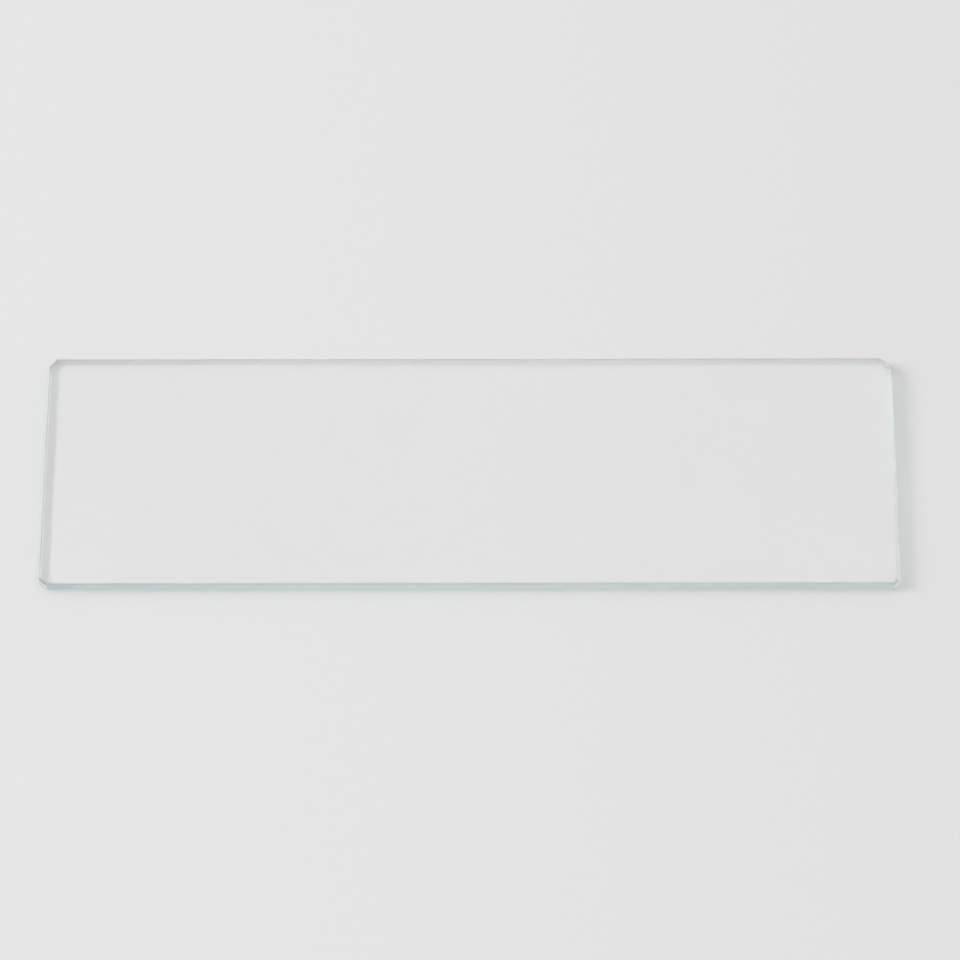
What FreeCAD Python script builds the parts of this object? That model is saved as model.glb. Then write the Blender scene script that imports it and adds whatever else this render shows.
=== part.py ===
"""Microscope slide: one plate of clear glass with ground edges and clipped corners.

Millimetres. The slide lies flat: X runs along its length, Y across its width and Z up.
The origin is the middle of the underside, so the plate stands on z = 0.
"""

import FreeCAD, Part
import os

# Driving sizes of the plate
LENGTH = 76.0
WIDTH = 26.0
THICKNESS = 1.0

# Clipped corners, each a little different: (reach along the length, reach across the width)
BACK_LEFT_CUT = (0.62, 0.90)
BACK_RIGHT_CUT = (0.98, 1.40)
FRONT_LEFT_CUT = (0.68, 0.74)
FRONT_RIGHT_CUT = (0.56, 0.76)

# Arrises: the 45 degree flats ground where a face meets an edge, by their reach along each
UPPER_ARRIS = 0.13
LOWER_ARRIS_LONG_SIDES = 0.33
LOWER_ARRIS_ENDS = 0.08

# Two places closer than this are the same one
SAME = 1e-6

NODE = "glass_slide"


def outline():
    """The plate seen from above: a rectangle with its four corners clipped, counterclockwise."""
    end = LENGTH / 2
    side = WIDTH / 2
    points = [
        (-end + FRONT_LEFT_CUT[0], -side),
        (end - FRONT_RIGHT_CUT[0], -side),
        (end, -side + FRONT_RIGHT_CUT[1]),
        (end, side - BACK_RIGHT_CUT[1]),
        (end - BACK_RIGHT_CUT[0], side),
        (-end + BACK_LEFT_CUT[0], side),
        (-end, side - BACK_LEFT_CUT[1]),
        (-end, -side + FRONT_LEFT_CUT[1]),
    ]
    return [FreeCAD.Vector(x, y, 0) for x, y in points]


def cut_plate():
    """The plate as it is cut from the sheet, before its rims are ground."""
    corners = outline()
    rim = Part.makePolygon(corners + corners[:1])
    return Part.Face(rim).extrude(FreeCAD.Vector(0, 0, THICKNESS))


def edges_at(plate, height):
    """The edges of the plate that lie level at this height."""
    return [edge for edge in plate.Edges if all(abs(point.Z - height) < SAME for point in edge.Vertexes)]


def runs_lengthwise(edge):
    """True for an edge parallel to X."""
    start, finish = edge.Vertexes
    return abs(start.Y - finish.Y) < SAME


def grind_arrises(plate):
    """Bevel the upper rim all round, then the lower rim: its long sides, then its ends and corners."""
    plate = plate.makeChamfer(UPPER_ARRIS, edges_at(plate, THICKNESS))
    long_sides = [edge for edge in edges_at(plate, 0) if runs_lengthwise(edge)]
    plate = plate.makeChamfer(LOWER_ARRIS_LONG_SIDES, long_sides)
    ends = [edge for edge in edges_at(plate, 0) if not runs_lengthwise(edge)]
    return plate.makeChamfer(LOWER_ARRIS_ENDS, ends)


def glass_slide():
    """The finished slide, one solid."""
    return grind_arrises(cut_plate()).Solids[0]


os.makedirs("parts", exist_ok=True)
slide = glass_slide()
slide.exportStep(f"parts/{NODE}.step")
box = slide.BoundBox
print(f"{NODE}: {box.XLength:.3f} x {box.YLength:.3f} x {box.ZLength:.3f} mm, {slide.Volume:.1f} mm3")
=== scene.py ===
"""Looks of a microscope slide: a plate of clear glass with ground edges and clipped corners, on pale card.

Metres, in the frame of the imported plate: X runs along the slide, Y across it to the back, Z up.
The origin is under the middle of the slide.
"""

import math

import bpy
from mathutils import Matrix, Vector


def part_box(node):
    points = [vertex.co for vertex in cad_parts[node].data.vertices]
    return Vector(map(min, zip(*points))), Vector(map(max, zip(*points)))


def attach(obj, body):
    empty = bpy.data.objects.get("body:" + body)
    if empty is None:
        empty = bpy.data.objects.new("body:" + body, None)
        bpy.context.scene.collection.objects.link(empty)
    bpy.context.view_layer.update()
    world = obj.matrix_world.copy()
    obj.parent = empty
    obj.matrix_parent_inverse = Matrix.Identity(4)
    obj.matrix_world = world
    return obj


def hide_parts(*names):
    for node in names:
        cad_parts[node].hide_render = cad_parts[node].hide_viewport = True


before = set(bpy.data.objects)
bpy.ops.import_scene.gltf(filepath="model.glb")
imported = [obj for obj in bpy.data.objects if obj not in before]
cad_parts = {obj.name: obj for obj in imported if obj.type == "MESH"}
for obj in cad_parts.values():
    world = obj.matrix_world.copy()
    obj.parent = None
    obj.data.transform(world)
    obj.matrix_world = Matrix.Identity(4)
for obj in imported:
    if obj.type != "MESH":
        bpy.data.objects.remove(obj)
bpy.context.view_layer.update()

MM = 0.001
PLATE = "glass_slide"

plate_low, plate_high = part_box(PLATE)
LENGTH, WIDTH, THICKNESS = plate_high - plate_low

# ---------------------------------------------------------------- sizes of the plate

# Clipped corners, each snapped a little differently: reach along the slide and across it, as level vectors
CORNER_CUTS = {
    "Front left cut": (0.68 * MM, 0.74 * MM, 0.0),
    "Front right cut": (0.56 * MM, 0.76 * MM, 0.0),
    "Back right cut": (0.98 * MM, 1.40 * MM, 0.0),
    "Back left cut": (0.62 * MM, 0.90 * MM, 0.0),
}

# Arrises, the flats ground at 45 degrees along the rims; the right end's widens towards the front
UPPER_ARRIS = 0.13 * MM
LOWER_ARRIS_SIDES = 0.33 * MM
LOWER_ARRIS_ENDS = 0.08 * MM
RIGHT_ARRIS_GROWTH = 0.24 * MM

# The outline has two points for each corner cut, and the rim a point at least every step along it
OUTLINE_POINTS = 2 * len(CORNER_CUTS)
RIM_STEP = 0.2 * MM

# Where the rings lie between the two arrises, as shares of the edge's flat wall
WALL_RINGS = (0.25, 0.5, 0.75)

# How far the wheel wandered at most, over what length, and how unlike each other two rings are
GRINDING_WANDER = 0.008 * MM
GRINDING_WAVE = 2.5 * MM
RING_SHIFT = 7.3

# Stray nicks: how many, the largest one's reach, the smallest as a share of it, and the lower rim's share
STRAY_NICKS = 24
LARGEST_STRAY = 0.12 * MM
SMALLEST_STRAY = 0.25
LOWER_RIM_SHARE = 0.35

# Every nick's depth as a share of its reach
NICK_DEPTH = 0.35

# The seed of the stray nicks and of the wheel's wander
SEED = 12

# How far in from the outside the rim's finishes reach at most, and a long edge's own finish
RIM_DEPTH = 1.5 * MM
EDGE_DEPTH = 0.4 * MM

# How much a face has to point up to be an arris, and how much a rim has to slant to be a corner's
FACING_UP = 0.35
SLANTED = 0.6

# The most that a straight stretch of the outline heads sideways
STRAIGHT = 0.01

# Points closer than this are one
SAME_POINT = 1e-7

# Names of the three moves of a rim's point: when the long sides, the ends or the cuts come in by one
MOVES = ("from sides", "from ends", "from cuts")

# ---------------------------------------------------------------- values of the finishes

# The glass: how it bends light, the green in its depth, and how rough the haze on its faces is at most
GLASS_INDEX = 1.52
GLASS_GREEN = (0.75, 0.95, 0.92, 1.0)
GREEN_DENSITY = 5.0
HAZE = 0.035

# How much rougher or smoother than its middle value a ground edge is in places
ROUGHNESS_SPREAD = 0.05

# The parts of a soft noise, from 0 to 1, over which a finish changes
MOST_OF_NOISE = (0.3, 0.7)
MIDDLE_OF_NOISE = (0.35, 0.65)
UPPER_PART_OF_NOISE = (0.45, 0.75)

# The back edge's tone falls by this times the squared distance, in metres, from its brightest place
BACK_FALL = 45.0
BACK_BRIGHTEST = -3.0 * MM

# Greyer at the left end of the long edges: how grey, and how far it goes
BACK_START = (0.06, 1.6 * MM)
FRONT_START = (0.07, 4.0 * MM)

# The share of that way along which the greying is at its worst
WORST_SHARE = 0.4

# The front edge's painted shade: its tone on the upper arris, on the lower one and at the right end, where 1
# is no change
FRONT_UPPER = 0.74
FRONT_LOWER = 1.14
FRONT_END = 0.95

# Where those tones start and end, below the upper face and above the underside, in widths of each arris
UPPER_BLEND = (0.7, 1.3)
LOWER_BLEND = (0.8, 1.1)

# How much rougher the right end is ground than the left
RIGHT_FROST = 0.15

# Snapped corners, as front left, front right, back left, back right: how grey the wall is, and how much
# greyer it is along its upper rim; then how much of them lets light through
WALL_GREY = (0.12, 0.0, 0.27, 0.18)
RIM_GREY = (0.45, 0.38, 0.08, 0.12)
SNAPPED_CLEAR = 0.6

# The greyer rim fades out downwards between these depths, in widths of the upper arris
RIM_GREY_FADE = (1.6, 2.6)

# ---------------------------------------------------------------- values of the bench, light and camera

# The card: how far it reaches, its gap under the slide, its tone, and how much its tone differs in flecks
CARD_REACH = 3.0
CARD_GAP = 0.04 * MM
CARD_SHADE = 0.793
CARD_FLECK = 0.004

# Painted light on the card, brighter towards the lamp on the left: how much of its tone the card loses for
# each metre to the right, round the place that has the plain tone
CARD_PAINTED_FALLOFF = 0.75
PAINTED_FALLOFF_MIDDLE = 20.0 * MM

# How fast that painted light fades with the squared distance from there, in metres
PAINTED_FALLOFF_FADE_ALONG = 100.0
PAINTED_FALLOFF_FADE_ACROSS = 10.0

# The lamp: its light on a level white card, and its height and width in degrees
KEY_LIGHT = 0.19
KEY_ELEVATION = 29.0
KEY_WIDTH = 26.0

# The room's tone and its bright panel's, the panel's height and its turn to the right from straight behind,
# and how far its outer rim and its core lie from its middle, in degrees
WALL_TONE = 0.768
PANEL_TONE = 1.0
PANEL_AT = (52.0, 20.0)
PANEL_SPREAD = (19.0, 6.0)

# The camera: its height over the bench in degrees, its distance, and its lens and sensor in millimetres
CAMERA_TILT = 51.0
CAMERA_DISTANCE = 665.5 * MM
CAMERA_LENS = 279.56
CAMERA_SENSOR = 36.0

# The nearest and the farthest that the camera sees
CAMERA_NEAREST = 10.0 * MM
CAMERA_FARTHEST = 50.0

# How far the camera is shifted off the slide's middle, and its turn about the slide and its roll in degrees
AIM_RIGHT = 0.86 * MM
AIM_UP = -0.325 * MM
CAMERA_TURN = 0.614
CAMERA_ROLL = -0.56

# How often light may bounce in glass, and off the card
GLASS_BOUNCES = 256
CARD_BOUNCES = 16


# ---------------------------------------------------------------- wiring of node trees

# Sockets that are known by number, since others on their node share their name: the number that a random
# value gives, and the first colour, the second colour and the result of a mix
RANDOM_NUMBER = 1
MIX_FIRST = 6
MIX_SECOND = 7
MIX_COLOUR = 2


class Wire:
    """One output of a node. Arithmetic on it adds the node that does that arithmetic."""

    def __init__(self, bench, socket):
        self.bench = bench
        self.socket = socket

    def __add__(self, other):
        return self.bench.sum("ADD", self, other)

    def __sub__(self, other):
        return self.bench.sum("SUBTRACT", self, other)

    def __rsub__(self, other):
        return self.bench.sum("SUBTRACT", other, self)

    def __mul__(self, other):
        return self.bench.sum("MULTIPLY", self, other)

    def __truediv__(self, other):
        return self.bench.sum("DIVIDE", self, other)

    def part(self, letter):
        """The X, Y or Z of a vector."""
        return self.bench.put("ShaderNodeSeparateXYZ", {"Vector": self}).out(letter)


class Station:
    """One node on the bench."""

    def __init__(self, bench, node):
        self.bench = bench
        self.node = node

    def out(self, name=0):
        """The output with this name, or the first one."""
        return Wire(self.bench, self.node.outputs[name])


class Bench:
    """A node tree while it is being wired."""

    def __init__(self, tree):
        self.tree = tree

    def put(self, kind, wires=None, **settings):
        """Adds a node with its settings, and plugs a wire or a value in each input, by name or number."""
        node = self.tree.nodes.new(kind)
        for name, value in settings.items():
            setattr(node, name, value)
        for name, value in (wires or {}).items():
            self.plug(value, node.inputs[name])
        return Station(self, node)

    def plug(self, value, socket):
        if isinstance(value, Wire):
            self.tree.links.new(value.socket, socket)
        else:
            socket.default_value = value

    def maths(self, operation, *values):
        return self.put("ShaderNodeMath", dict(enumerate(values)), operation=operation).out()

    def vectors(self, operation, *values, result="Vector"):
        return self.put("ShaderNodeVectorMath", dict(enumerate(values)), operation=operation).out(result)

    def sum(self, operation, one, other):
        """Adds, subtracts, multiplies or divides numbers or vectors, or scales a vector by a number."""
        directed = [self.is_vector(value) for value in (one, other)]
        if not any(directed):
            return self.maths(operation, one, other)
        if all(directed):
            return self.vectors(operation, one, other)
        vector, number = (one, other) if directed[0] else (other, one)
        if operation == "DIVIDE":
            number = self.maths("DIVIDE", 1.0, number)
        return self.scaled(vector, number)

    @staticmethod
    def is_vector(value):
        return value.socket.type == "VECTOR" if isinstance(value, Wire) else isinstance(value, tuple)

    def scaled(self, vector, number):
        return self.put("ShaderNodeVectorMath", {"Vector": vector, "Scale": number}, operation="SCALE").out()

    def positive(self, value):
        """The value, or 0 where it is below that."""
        return self.maths("MAXIMUM", value, 0.0)

    def more(self, value, limit):
        """1 where the value is over the limit, 0 elsewhere."""
        return self.maths("GREATER_THAN", value, limit)

    def less(self, value, limit):
        """1 where the value is under the limit, 0 elsewhere."""
        return self.maths("LESS_THAN", value, limit)

    def unsigned(self, value):
        return self.maths("ABSOLUTE", value)

    def length_of(self, vector):
        return self.vectors("LENGTH", vector, result="Value")

    def dot(self, one, other):
        return self.vectors("DOT_PRODUCT", one, other, result="Value")

    def raised(self, height):
        """The vector that goes straight up by this height."""
        return self.put("ShaderNodeCombineXYZ", {"Z": height}).out()

    def between(self, value, low, high, to_low, to_high, **settings):
        """The value's place between low and high, as one between two others, and no further."""
        return self.put("ShaderNodeMapRange", {
            "Value": value, "From Min": low, "From Max": high, "To Min": to_low, "To Max": to_high,
        }, **settings).out()

    def here(self):
        """Where a point of the shape is."""
        return self.put("GeometryNodeInputPosition").out()

    def index(self):
        return self.put("GeometryNodeInputIndex").out()

    def on_piece(self):
        """Where a point of the surface is, in the piece's own frame."""
        return self.put("ShaderNodeTexCoord").out("Object")


# ---------------------------------------------------------------- the plate

def plate_inputs(tree):
    """Names the sizes that the plate's tree takes, and returns the tree's bench and each size's wire."""
    inputs = {
        "Geometry": ("Geometry",),
        "Float": (
            "Length", "Width", "Thickness",
            "Upper arris", "Lower arris of sides", "Lower arris of ends", "Widening of right arris",
            "Step along rim", "Wander of grinding", "Wave of grinding", "Largest nick",
        ),
        "Vector": tuple(CORNER_CUTS),
        "Int": ("Stray nicks", "Seed"),
        "Material": ("Polished", "Ends", "Front", "Back", "Arris", "Snapped"),
    }
    for kind, names in inputs.items():
        for name in names:
            tree.interface.new_socket(name, in_out="INPUT", socket_type="NodeSocket" + kind)
    tree.interface.new_socket("Geometry", in_out="OUTPUT", socket_type="NodeSocketGeometry")
    bench = Bench(tree)
    entry = bench.put("NodeGroupInput").node
    return bench, {socket.name: Wire(bench, socket) for socket in entry.outputs if socket.name}


def clipped_outline(bench, size):
    """The rectangle with its corners snapped off: eight points, counterclockwise from the front left."""
    half = bench.put("ShaderNodeCombineXYZ", {"X": size["Length"] * 0.5, "Y": size["Width"] * 0.5}).out()

    def snapped(name, right, back):
        """The point on the long side and the point on the end that a cut leaves."""
        corner = half * (right, back, 0.0)
        cut = size[name]
        return corner - cut * (right, 0.0, 0.0), corner - cut * (0.0, back, 0.0)

    front_left, left_front = snapped("Front left cut", -1.0, -1.0)
    front_right, right_front = snapped("Front right cut", 1.0, -1.0)
    back_right, right_back = snapped("Back right cut", 1.0, 1.0)
    back_left, left_back = snapped("Back left cut", -1.0, 1.0)
    places = (front_left, front_right, right_front, right_back, back_right, back_left, left_back, left_front)
    chooser = bench.put("GeometryNodeIndexSwitch", data_type="VECTOR")
    while len(chooser.node.index_switch_items) < len(places):
        chooser.node.index_switch_items.new()
    bench.plug(bench.index(), chooser.node.inputs["Index"])
    for number, place in enumerate(places):
        bench.plug(place, chooser.node.inputs[str(number)])
    ring = bench.put("GeometryNodeCurvePrimitiveCircle", {"Resolution": len(places)}).out()
    return moved(bench, ring, chooser.out())


def moved(bench, geometry, place, chosen=True):
    return bench.put("GeometryNodeSetPosition", {
        "Geometry": geometry, "Selection": chosen, "Position": place,
    }).out()


def joined(bench, *shapes):
    together = bench.put("GeometryNodeJoinGeometry")
    for shape in shapes:
        bench.plug(shape, together.node.inputs["Geometry"])
    return together.out()


def keep(bench, geometry, name, value, kind="FLOAT_VECTOR"):
    """Keeps a value on each point, under a name."""
    return bench.put("GeometryNodeStoreNamedAttribute", {
        "Geometry": geometry, "Name": name, "Value": value,
    }, data_type=kind, domain="POINT").out()


def kept(bench, name, kind="FLOAT_VECTOR"):
    return bench.put("GeometryNodeInputNamedAttribute", {"Name": name}, data_type=kind).out()


def taken_from(bench, shape, value, index, kind="FLOAT_VECTOR"):
    """The value on the point of another shape that has this index."""
    return bench.put("GeometryNodeSampleIndex", {
        "Geometry": shape, "Value": value, "Index": index,
    }, data_type=kind, domain="POINT").out()


def neighbour(bench, step):
    """The place of the outline's point that is this many on, round the whole outline."""
    index = bench.index() + float(step + OUTLINE_POINTS)
    index = bench.maths("MODULO", index, float(OUTLINE_POINTS))
    return bench.put("GeometryNodeFieldAtIndex", {
        "Index": index, "Value": bench.here(),
    }, data_type="FLOAT_VECTOR").out()


def inward_moves(bench, outline):
    """Keeps on each corner how far it moves when the long sides, the ends or the cuts come in by one."""
    here = bench.here()
    before = bench.vectors("NORMALIZE", here - neighbour(bench, -1))
    after = bench.vectors("NORMALIZE", neighbour(bench, 1) - here)
    out_before = bench.vectors("CROSS_PRODUCT", before, (0.0, 0.0, 1.0))
    out_after = bench.vectors("CROSS_PRODUCT", after, (0.0, 0.0, 1.0))
    turn = bench.dot(out_before, out_after)

    def move(share_before, share_after):
        along_before = out_before * (share_before - turn * share_after)
        along_after = out_after * (share_after - turn * share_before)
        return (along_before + along_after) / (turn * turn - 1.0)

    def stretch(heading):
        """Whether a stretch of the rim with this heading is a long side, an end or a cut."""
        side = bench.less(bench.unsigned(heading.part("Y")), STRAIGHT)
        end = bench.less(bench.unsigned(heading.part("X")), STRAIGHT)
        return side, end, 1.0 - side - end

    for name, share_before, share_after in zip(MOVES, stretch(before), stretch(after)):
        outline = keep(bench, outline, name, move(share_before, share_after))
    return outline


def stepped_rim(bench, size, outline):
    """The outline with a point every step along it, and on each how much the rim slants: 1 at 45 degrees."""
    run = bench.length_of(neighbour(bench, 1) - bench.here())
    cuts = bench.maths("FLOOR", run / size["Step along rim"])
    rim = bench.put("GeometryNodeSubdivideCurve", {"Curve": outline, "Cuts": cuts}).out()
    heading = bench.put("GeometryNodeInputTangent").out()
    slant = bench.unsigned(heading.part("X") * heading.part("Y")) * 2.0
    return keep(bench, rim, "snapped", slant, "FLOAT")


def nick_marks(bench, size, rim):
    """Where the rims are chipped: the marks handed in, and stray ones anywhere on the two rims."""
    def chance(salt):
        """A number from 0 to 1 that differs from nick to nick."""
        dice = bench.put("FunctionNodeRandomValue", {"Seed": size["Seed"] + salt}, data_type="FLOAT")
        return dice.out(RANDOM_NUMBER)

    at = bench.put("GeometryNodeSampleCurve", {
        "Curves": rim, "Factor": chance(1),
    }, use_all_curves=True, mode="FACTOR").out("Position")
    on_upper_rim = bench.more(chance(2), LOWER_RIM_SHARE)
    stray = bench.put("GeometryNodePoints", {
        "Count": size["Stray nicks"], "Position": at + bench.raised(on_upper_rim * size["Thickness"]),
    }).out()
    spread = chance(3)
    share = spread * spread * (1.0 - SMALLEST_STRAY) + SMALLEST_STRAY
    stray = keep(bench, stray, "reach", share * size["Largest nick"], "FLOAT")
    placed = bench.put("GeometryNodeMeshToPoints", {"Mesh": size["Geometry"]}).out()
    return joined(bench, stray, placed)


def bitten(bench, size, marks, place):
    """How deep the nearest nick goes at this place."""
    nearest = bench.put("GeometryNodeSampleNearest", {
        "Geometry": marks, "Sample Position": place,
    }, domain="POINT").out()
    away = bench.length_of(place - taken_from(bench, marks, bench.here(), nearest))
    reach = taken_from(bench, marks, kept(bench, "reach", "FLOAT"), nearest, "FLOAT")
    return bench.maths("SQRT", bench.positive(1.0 - away / reach)) * reach * NICK_DEPTH


def ring_at(bench, size, marks, height, number):
    """Where the rim's points lie at this height, with the arrises, the wheel's wander and the nicks."""
    thickness = size["Thickness"]
    from_sides, from_ends, from_cuts = (kept(bench, name) for name in MOVES)
    foot = kept(bench, "foot")
    lower_side = bench.positive(size["Lower arris of sides"] - height)
    lower_end = bench.positive(size["Lower arris of ends"] - height)
    upper = bench.positive(height - (thickness - size["Upper arris"]))
    nearness = 0.5 - foot.part("Y") / size["Width"]
    growth = bench.more(foot.part("X"), 0.0) * nearness * size["Widening of right arris"]
    upper_end = bench.positive(height - (thickness - (size["Upper arris"] + growth)))
    place = foot + from_sides * (lower_side + upper)
    place = place + from_ends * (lower_end + upper_end)
    place = place + from_cuts * (lower_end + upper) + bench.raised(height)
    noise = bench.put("ShaderNodeTexNoise", {
        "Vector": foot / size["Wave of grinding"], "W": size["Seed"] + RING_SHIFT * number,
        "Scale": 1.0, "Detail": 3.0, "Roughness": 0.6,
    }, noise_dimensions="4D").out()
    strayed = noise * size["Wander of grinding"]
    inward = from_sides + from_ends + from_cuts
    return place + inward * (strayed + bitten(bench, size, marks, place))


def ring_heights(size):
    """The heights above the underside where the edge's rings lie, up to the upper face."""
    thickness, upper = size["Thickness"], size["Upper arris"]
    side, end = size["Lower arris of sides"], size["Lower arris of ends"]
    shoulder = thickness - upper
    wall = shoulder - side
    on_wall = [side + wall * share for share in WALL_RINGS]
    return [end, (end + side) * 0.5, side, *on_wall, shoulder, shoulder + upper * 0.5, thickness]


def underside(bench, size, rim, marks):
    """The flat underside, whose points keep what the rim's points carry."""
    domain = bench.put("GeometryNodeAttributeDomainSize", {"Geometry": rim}, component="CURVE")
    count = domain.out("Point Count")
    sheet = bench.put("GeometryNodeMeshCircle", {"Vertices": count}, fill_type="NGON").out()
    sheet = keep(bench, sheet, "foot", taken_from(bench, rim, bench.here(), bench.index()))
    for name in MOVES:
        sheet = keep(bench, sheet, name, taken_from(bench, rim, kept(bench, name), bench.index()))
    slant = taken_from(bench, rim, kept(bench, "snapped", "FLOAT"), bench.index(), "FLOAT")
    sheet = keep(bench, sheet, "snapped", slant, "FLOAT")
    return moved(bench, sheet, ring_at(bench, size, marks, 0.0, 0))


def finished(bench, size, solid):
    """The solid with a finish on each of its faces; a later finish covers an earlier one."""
    along, across = bench.here().part("X"), bench.here().part("Y")
    half_length, half_width = size["Length"] * 0.5, size["Width"] * 0.5
    on_end = bench.more(bench.unsigned(along), half_length - RIM_DEPTH)
    on_side = bench.more(bench.unsigned(across), half_width - RIM_DEPTH)
    level = bench.put("GeometryNodeInputNormal").out().part("Z")
    rim = bench.maths("MAXIMUM", on_end, on_side)
    edge = half_width - EDGE_DEPTH
    finishes = {
        "Polished": True,
        "Ends": rim,
        "Arris": rim * bench.more(level, FACING_UP),
        "Front": rim * bench.less(across, edge * -1.0),
        "Back": rim * bench.more(across, edge),
        "Snapped": rim * bench.more(kept(bench, "snapped", "FLOAT"), SLANTED),
    }
    for name, chosen in finishes.items():
        solid = bench.put("GeometryNodeSetMaterial", {
            "Geometry": solid, "Selection": chosen, "Material": size[name],
        }).out()
    return solid


def plate_tree():
    """The plate: its outline raised ring by ring through the arrises and the edge to the upper face."""
    tree = bpy.data.node_groups.new("Clipped and ground glass plate", "GeometryNodeTree")
    bench, size = plate_inputs(tree)
    rim = stepped_rim(bench, size, inward_moves(bench, clipped_outline(bench, size)))
    marks = nick_marks(bench, size, rim)
    base = sheet = underside(bench, size, rim, marks)
    top = True
    for number, height in enumerate(ring_heights(size), 1):
        raised = bench.put("GeometryNodeExtrudeMesh", {
            "Mesh": sheet, "Selection": top, "Offset Scale": 0.0, "Individual": False,
        }, mode="FACES")
        top = raised.out("Top")
        sheet = moved(bench, raised.out("Mesh"), ring_at(bench, size, marks, height, number), top)
    turned = bench.put("GeometryNodeFlipFaces", {"Mesh": base}).out()
    solid = bench.put("GeometryNodeMergeByDistance", {
        "Geometry": joined(bench, sheet, turned), "Distance": SAME_POINT,
    }).out()
    solid = bench.put("GeometryNodeRealizeInstances", {"Geometry": solid}).out()
    bench.put("NodeGroupOutput", {"Geometry": finished(bench, size, solid)})
    return tree


def placed_nicks():
    """The chips that are listed one by one, all on the upper rim: where each one is and how far it reaches.
    """
    end, side = LENGTH / 2, WIDTH / 2
    places = [
        (12.5 * MM, -side, 0.16 * MM),
        (7.8 * MM, -side, 0.16 * MM),
        (-7.6 * MM, -side, 0.12 * MM),
        (-31.0 * MM, -side, 0.14 * MM),
        (-end + 0.30 * MM, side - 0.45 * MM, 0.20 * MM),
        (end - 1.20 * MM, side, 0.16 * MM),
        (end - 0.30 * MM, -side + 0.40 * MM, 0.22 * MM),
    ]
    mesh = bpy.data.meshes.new("nick marks")
    mesh.from_pydata([(along, across, THICKNESS) for along, across, _ in places], [], [])
    reaches = mesh.attributes.new("reach", "FLOAT", "POINT")
    for mark, (_, _, reach) in zip(reaches.data, places):
        mark.value = reach
    return mesh


def make_plate(finishes):
    """Builds the plate and hands it over as a plain mesh."""
    blank = bpy.data.objects.new("plate blank", placed_nicks())
    bpy.context.scene.collection.objects.link(blank)
    grinding = blank.modifiers.new("grinding", "NODES")
    grinding.node_group = plate_tree()
    sizes = {
        "Length": LENGTH, "Width": WIDTH, "Thickness": THICKNESS,
        "Upper arris": UPPER_ARRIS,
        "Lower arris of sides": LOWER_ARRIS_SIDES, "Lower arris of ends": LOWER_ARRIS_ENDS,
        "Widening of right arris": RIGHT_ARRIS_GROWTH,
        "Step along rim": RIM_STEP,
        "Wander of grinding": GRINDING_WANDER, "Wave of grinding": GRINDING_WAVE,
        "Largest nick": LARGEST_STRAY, "Stray nicks": STRAY_NICKS, "Seed": SEED,
        **CORNER_CUTS, **finishes,
    }
    for item in grinding.node_group.interface.items_tree:
        if item.in_out == "INPUT" and item.name in sizes:
            grinding[item.identifier] = sizes[item.name]
    ready = blank.evaluated_get(bpy.context.evaluated_depsgraph_get())
    mesh = bpy.data.meshes.new_from_object(ready)
    blank.modifiers.remove(grinding)
    bpy.data.objects.remove(blank)
    mesh.name = "ground_glass_plate"
    plate = bpy.data.objects.new("ground_glass_plate", mesh)
    bpy.context.scene.collection.objects.link(plate)
    return plate


# ---------------------------------------------------------------- finishes

def new_finish(name):
    """A material, its bench and its Principled node."""
    material = bpy.data.materials.new(name)
    material.use_nodes = True
    bench = Bench(material.node_tree)
    shader = next(node for node in material.node_tree.nodes if node.type == "BSDF_PRINCIPLED")
    return material, bench, shader


def mottle(bench, scale, detail, stretch=(1.0, 1.0, 1.0), shift=0.0):
    """A soft noise over the piece, from 0 to 1, in lumps of about 1 / scale metres."""
    place = bench.put("ShaderNodeMapping", {
        "Vector": bench.on_piece(), "Scale": stretch, "Location": (shift, shift, shift),
    }).out()
    return bench.put("ShaderNodeTexNoise", {
        "Vector": place, "Scale": scale, "Detail": detail, "Roughness": 0.55,
    }).out()


def bumped(bench, shader, height, strength, depth):
    bump = bench.put("ShaderNodeBump", {"Height": height, "Strength": strength, "Distance": depth})
    bench.plug(bump.out(), shader.inputs["Normal"])


def green_depth(bench, material):
    """The faint green that shows where light runs a long way through the plate."""
    output = next(node for node in material.node_tree.nodes if node.type == "OUTPUT_MATERIAL")
    tint = bench.put("ShaderNodeVolumeAbsorption", {"Color": GLASS_GREEN, "Density": GREEN_DENSITY})
    bench.plug(tint.out(), output.inputs["Volume"])


def polished_glass():
    """The two faces: smooth, with a gentle wave and the faint haze that wiping leaves."""
    material, bench, shader = new_finish("polished_glass")
    shader.inputs["Base Color"].default_value = (1.0, 1.0, 1.0, 1.0)
    shader.inputs["IOR"].default_value = GLASS_INDEX
    shader.inputs["Transmission Weight"].default_value = 1.0
    wiped = mottle(bench, scale=260.0, detail=5.0, stretch=(0.25, 1.0, 1.0))
    bench.plug(bench.between(wiped, *UPPER_PART_OF_NOISE, 0.0, HAZE), shader.inputs["Roughness"])
    wave = mottle(bench, scale=90.0, detail=1.0, stretch=(1.0, 0.35, 1.0), shift=3.0)
    bumped(bench, shader, wave, strength=0.02, depth=0.02 * MM)
    green_depth(bench, material)
    return material


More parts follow.
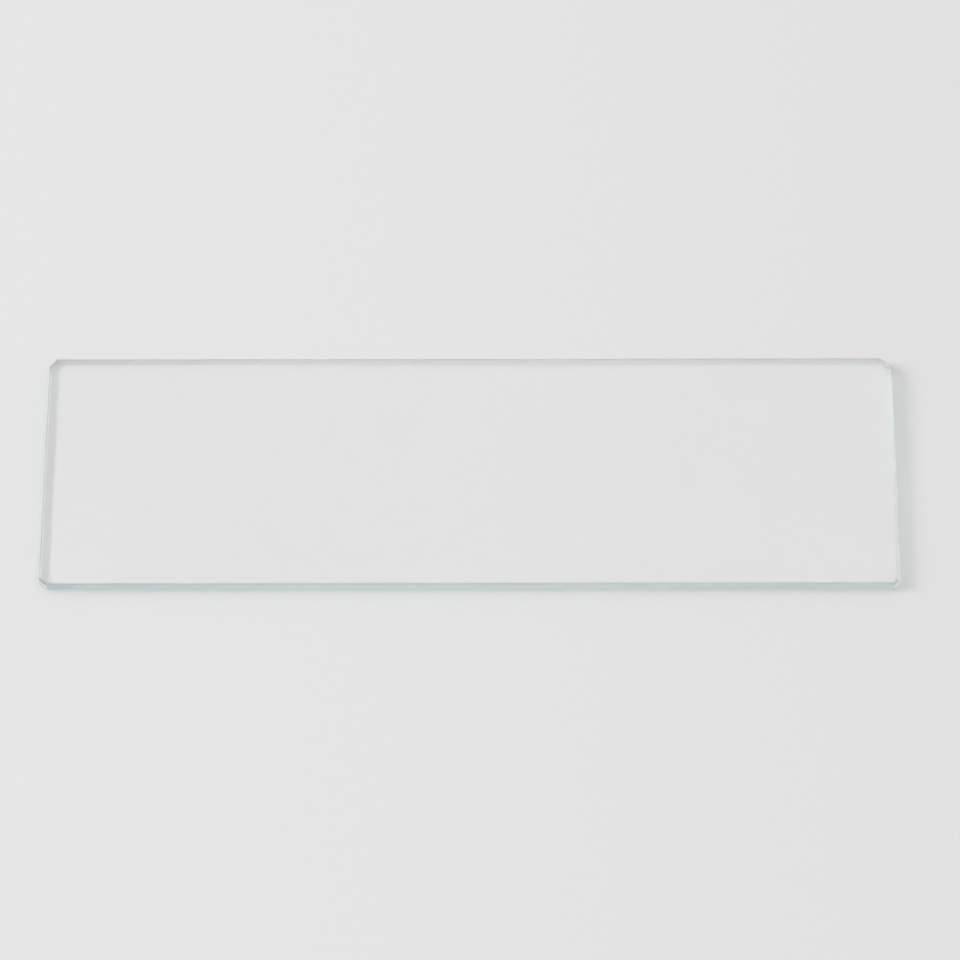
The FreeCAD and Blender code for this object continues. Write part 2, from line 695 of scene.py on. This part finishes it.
def ground_glass(name, pale, dark, roughness, clear=1.0, along=(0.1, 0.1, 1.0), tone_and_shade=None, frost=None):
    """An edge left by the wheel: matt, with fine lines along it and patches in two tones.

    Where it is clear, light goes through it. The tone function, if given, says what is left of its tone from
    place to place, as greying, and on the front edge as painted shade, and frost how much rougher it is.
    """
    material, bench, shader = new_finish(name)
    shader.inputs["IOR"].default_value = GLASS_INDEX
    shader.inputs["Transmission Weight"].default_value = clear
    lines = mottle(bench, scale=9000.0, detail=3.0, stretch=along)
    patches = mottle(bench, scale=700.0, detail=4.0, shift=5.0)
    colour = bench.put("ShaderNodeMix", {
        "Factor": bench.between(patches, *MIDDLE_OF_NOISE, 0.0, 1.0),
        MIX_FIRST: (*pale, 1.0), MIX_SECOND: (*dark, 1.0),
    }, data_type="RGBA").out(MIX_COLOUR)
    bench.plug(bench.scaled(colour, tone_and_shade(bench)) if tone_and_shade else colour, shader.inputs["Base Color"])
    smoother, rougher = roughness - ROUGHNESS_SPREAD, roughness + ROUGHNESS_SPREAD
    matt = bench.between(patches, *MOST_OF_NOISE, smoother, rougher)
    bench.plug(matt + frost(bench) if frost else matt, shader.inputs["Roughness"])
    bumped(bench, shader, lines, strength=0.5, depth=0.01 * MM)
    green_depth(bench, material)
    return material


def along_slide(bench):
    return bench.on_piece().part("X")


def across_slide(bench):
    return bench.on_piece().part("Y")


def up_edge(bench):
    return bench.on_piece().part("Z")


def worn_start(bench, depth, reach):
    """Greyer at the left end of a long edge: this deep, and over this reach."""
    start = -LENGTH / 2
    return bench.between(along_slide(bench), start + WORST_SHARE * reach, start + reach, 1.0 - depth, 1.0)


def worn_back(bench):
    """The back edge: greyer towards both ends, and greyest at the left corner."""
    away = along_slide(bench) - BACK_BRIGHTEST
    return (1.0 - away * away * BACK_FALL) * worn_start(bench, *BACK_START)


def worn_front(bench):
    """The front edge in painted shade, deepest on its upper arris, lightest on its lower one and a little
    deeper towards the right end; greyest at the left corner.
    """
    height = up_edge(bench)
    high, low = (THICKNESS - depth * UPPER_ARRIS for depth in UPPER_BLEND)
    upper = bench.between(height, low, high, 1.0, FRONT_UPPER)
    low, high = (rise * LOWER_ARRIS_SIDES for rise in LOWER_BLEND)
    lower = bench.between(height, low, high, FRONT_LOWER, 1.0)
    right = bench.between(along_slide(bench), 0.0, LENGTH / 2, 1.0, FRONT_END)
    return upper * lower * worn_start(bench, *FRONT_START) * right


def right_share(bench):
    """0 on the left part of the slide, 1 on its right part."""
    return bench.between(along_slide(bench), -LENGTH / 4, LENGTH / 4, 0.0, 1.0)


def frosted_right(bench):
    """The right end: ground on a coarser wheel than the left."""
    return right_share(bench) * RIGHT_FROST


def corner_by_corner(bench, front_left, front_right, back_left, back_right):
    """A number that differs from corner to corner."""
    right = right_share(bench)
    back = bench.between(across_slide(bench), -WIDTH / 4, WIDTH / 4, 0.0, 1.0)
    at_front = right * (front_right - front_left) + front_left
    at_back = right * (back_right - back_left) + back_left
    return at_front + back * (at_back - at_front)


def snapped_grey(bench):
    """What is left of each snapped corner's tone, on its wall and along its upper rim, which is greyer."""
    high, low = (THICKNESS - depth * UPPER_ARRIS for depth in RIM_GREY_FADE)
    near_upper_rim = bench.between(up_edge(bench), low, high, 0.0, 1.0)
    return 1.0 - corner_by_corner(bench, *WALL_GREY) - near_upper_rim * corner_by_corner(bench, *RIM_GREY)


def plate_finishes():
    """The finish of each part of the plate, by the name that the plate's tree gives it."""
    return {
        "Polished": polished_glass(),
        "Ends": ground_glass(
            "ground_ends", pale=(0.92, 1.0, 0.985), dark=(0.90, 0.98, 0.965), roughness=0.18,
            frost=frosted_right,
        ),
        # The front edge's grey is painted shade, on top of the glass's green
        "Front": ground_glass(
            "ground_front", pale=(0.805, 0.872, 0.865), dark=(0.785, 0.852, 0.845), roughness=0.38,
            tone_and_shade=worn_front,
        ),
        "Back": ground_glass(
            "ground_back", pale=(1.0, 0.985, 0.98), dark=(0.99, 0.975, 0.97), roughness=0.50,
            clear=0.05, tone_and_shade=worn_back,
        ),
        # The arrises' grey is painted shade, on top of the glass's green
        "Arris": ground_glass(
            "ground_arris", pale=(0.88, 0.95, 0.935), dark=(0.85, 0.92, 0.905), roughness=0.33,
        ),
        "Snapped": ground_glass(
            "snapped_corners", pale=(1.0, 1.0, 1.0), dark=(0.90, 0.92, 0.92), roughness=0.50,
            clear=SNAPPED_CLEAR, along=(1.0, 1.0, 1.0), tone_and_shade=snapped_grey,
        ),
    }


# ---------------------------------------------------------------- bench top, light and camera

def card_bench():
    """The pale card under the slide, a hair below it, since glass rests only on its high spots."""
    mesh = bpy.data.meshes.new("pale_card")
    ring = ((-1, -1), (1, -1), (1, 1), (-1, 1))
    corners = [(CARD_REACH * right, CARD_REACH * back, -CARD_GAP) for right, back in ring]
    mesh.from_pydata(corners, [], [(0, 1, 2, 3)])
    card = bpy.data.objects.new("pale_card", mesh)
    bpy.context.scene.collection.objects.link(card)
    material, bench, shader = new_finish("pale_card")
    place = bench.on_piece()
    along, across = place.part("X") - PAINTED_FALLOFF_MIDDLE, place.part("Y")
    # Painted light: the card's tone falls from left to right, as if lit more near the lamp, and fades out
    # away from the slide
    painted_falloff = along / (along * along * PAINTED_FALLOFF_FADE_ALONG + across * across * PAINTED_FALLOFF_FADE_ACROSS + 1.0)
    flecks = mottle(bench, scale=900.0, detail=6.0)
    fleck = bench.between(flecks, *MOST_OF_NOISE, 1.0 - CARD_FLECK, 1.0 + CARD_FLECK)
    tone = (1.0 - painted_falloff * CARD_PAINTED_FALLOFF) * fleck * CARD_SHADE
    colour = bench.put("ShaderNodeCombineColor", {"Red": tone, "Green": tone, "Blue": tone}).out()
    bench.plug(colour, shader.inputs["Base Color"])
    shader.inputs["Roughness"].default_value = 1.0
    shader.inputs["Specular IOR Level"].default_value = 0.0
    mesh.materials.append(material)


def soft_key():
    """A broad soft lamp from the left; a light of 1 would render a white card white."""
    elevation = math.radians(KEY_ELEVATION)
    lamp = bpy.data.lights.new("soft key", "SUN")
    lamp.angle = math.radians(KEY_WIDTH)
    lamp.energy = KEY_LIGHT * math.pi / math.sin(elevation)
    holder = bpy.data.objects.new("soft key", lamp)
    bpy.context.scene.collection.objects.link(holder)
    towards = Vector((-math.cos(elevation), 0.0, math.sin(elevation)))
    holder.rotation_euler = towards.to_track_quat("Z", "Y").to_euler()


def white_room():
    """A plain room all round, as pale as the lit card, with one soft bright panel high at the back."""
    world = bpy.data.worlds.new("white room")
    bpy.context.scene.world = world
    world.use_nodes = True
    bench = Bench(world.node_tree)
    background = next(node for node in world.node_tree.nodes if node.type == "BACKGROUND")
    background.inputs["Color"].default_value = (1.0, 1.0, 1.0, 1.0)
    height, turn = (math.radians(angle) for angle in PANEL_AT)
    level = math.cos(height)
    middle = (level * math.sin(turn), level * math.cos(turn), math.sin(height))
    facing = bench.dot(bench.put("ShaderNodeTexCoord").out("Generated"), middle)
    rim, core = (math.cos(math.radians(angle)) for angle in PANEL_SPREAD)
    panel = bench.between(facing, rim, core, WALL_TONE, PANEL_TONE, interpolation_type="SMOOTHSTEP")
    bench.plug(panel, background.inputs["Strength"])


def camera_over_bench():
    """A long lens from the front, looking down on the card."""
    tilt = math.radians(CAMERA_TILT)
    data = bpy.data.cameras.new("camera")
    data.sensor_width = CAMERA_SENSOR
    data.lens = CAMERA_LENS
    data.clip_start = CAMERA_NEAREST
    data.clip_end = CAMERA_FARTHEST
    forward = Vector((0.0, math.cos(tilt), -math.sin(tilt)))
    rise = Vector((0.0, math.sin(tilt), math.cos(tilt)))
    place = -forward * CAMERA_DISTANCE + Vector((1.0, 0.0, 0.0)) * AIM_RIGHT + rise * AIM_UP
    camera = bpy.data.objects.new("camera", data)
    bpy.context.scene.collection.objects.link(camera)
    turn = Matrix.Rotation(math.radians(CAMERA_TURN), 4, "Z")
    facing = (-forward).to_track_quat("Z", "Y").to_matrix().to_4x4()
    roll = Matrix.Rotation(math.radians(CAMERA_ROLL), 4, "Z")
    camera.matrix_world = turn @ Matrix.Translation(place) @ facing @ roll
    bpy.context.scene.camera = camera


def render_rules():
    """Plain colours, and enough bounces for light to run the length of the glass."""
    scene = bpy.context.scene
    scene.view_settings.view_transform = "Standard"
    cycles = scene.cycles
    cycles.max_bounces = GLASS_BOUNCES
    cycles.glossy_bounces = GLASS_BOUNCES
    cycles.transmission_bounces = GLASS_BOUNCES
    cycles.diffuse_bounces = CARD_BOUNCES
    cycles.blur_glossy = 0.0


# ---------------------------------------------------------------- the scene

plate = make_plate(plate_finishes())
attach(plate, "root")
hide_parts(PLATE)

card_bench()
soft_key()
white_room()
camera_over_bench()
render_rules()
